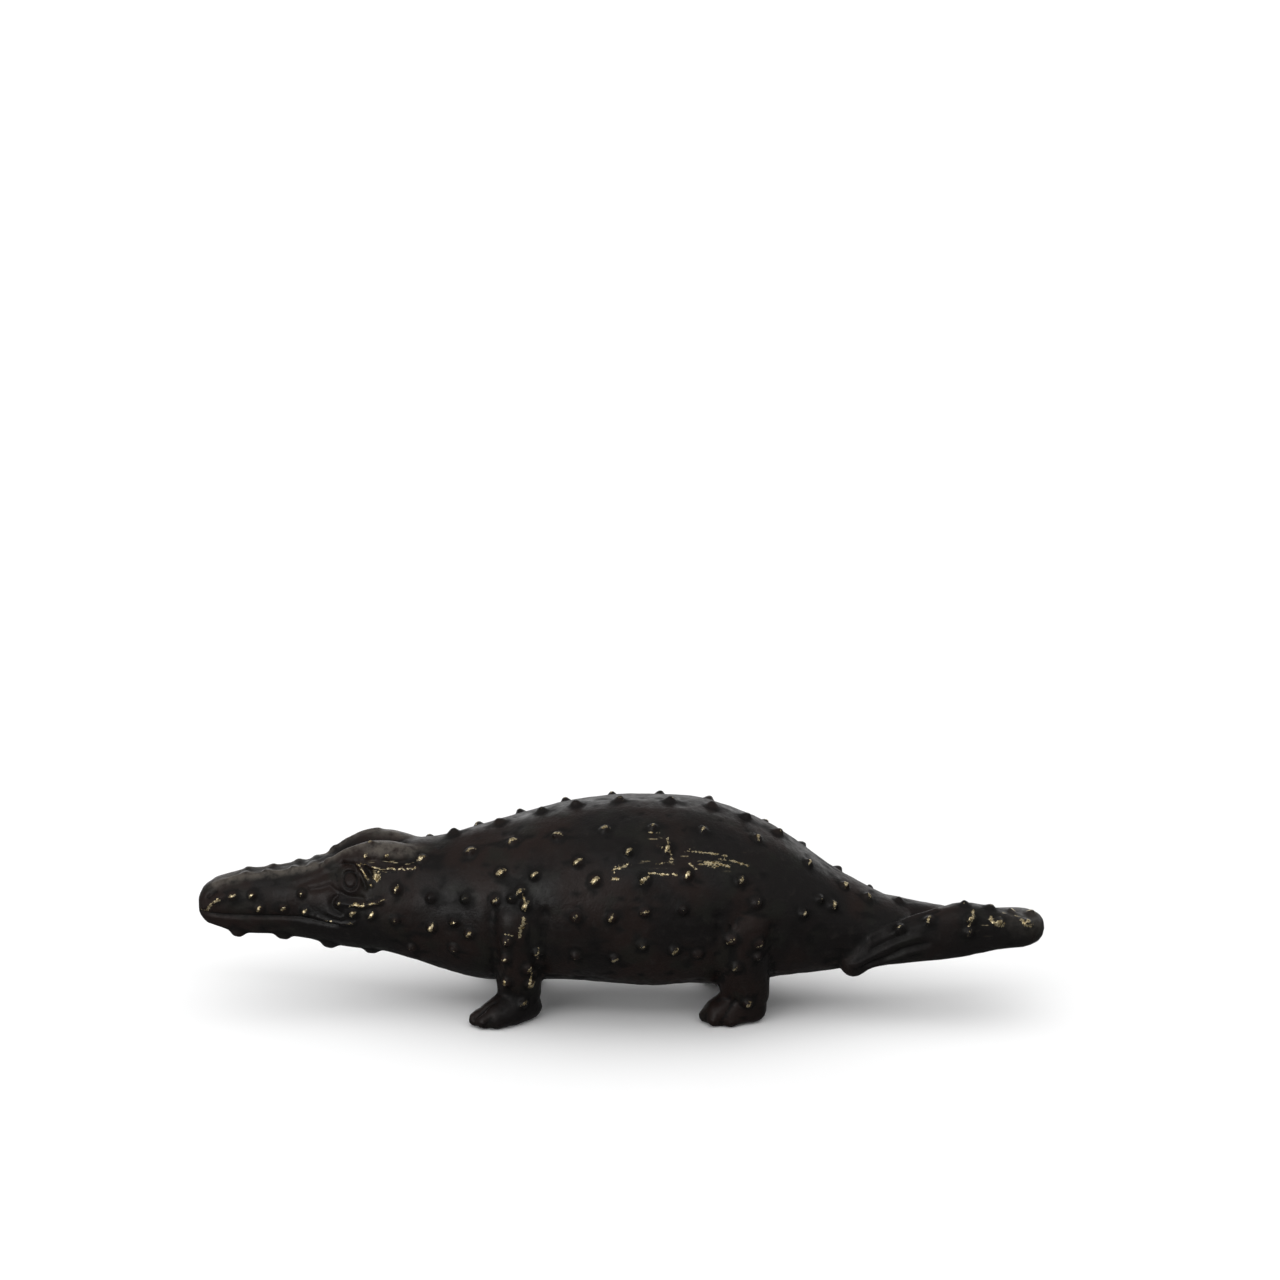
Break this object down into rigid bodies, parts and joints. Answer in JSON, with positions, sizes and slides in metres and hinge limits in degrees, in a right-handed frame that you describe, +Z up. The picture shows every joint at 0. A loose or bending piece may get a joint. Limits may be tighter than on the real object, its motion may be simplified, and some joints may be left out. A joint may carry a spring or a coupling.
{
  "type": "crocodile figurine",
  "caption": "Cast bronze crocodile standing on short legs, with rows of raised pellets on its skin and its tail turned forward along the left flank.",
  "frame": {"origin": "on the standing surface, under the middle of the animal's box", "axes": "+X from snout to tail, -Y is the animal's left side, +Z up"},
  "size_m": [0.1684, 0.0418, 0.0437],
  "materials": {
    "bronze": "near-black brown patina with a satin sheen, rubbed to yellow metal on the pellets and ridges"
  },
  "bodies": {
    "root": {"crocodile": "bronze"}
  },
  "joints": []
}
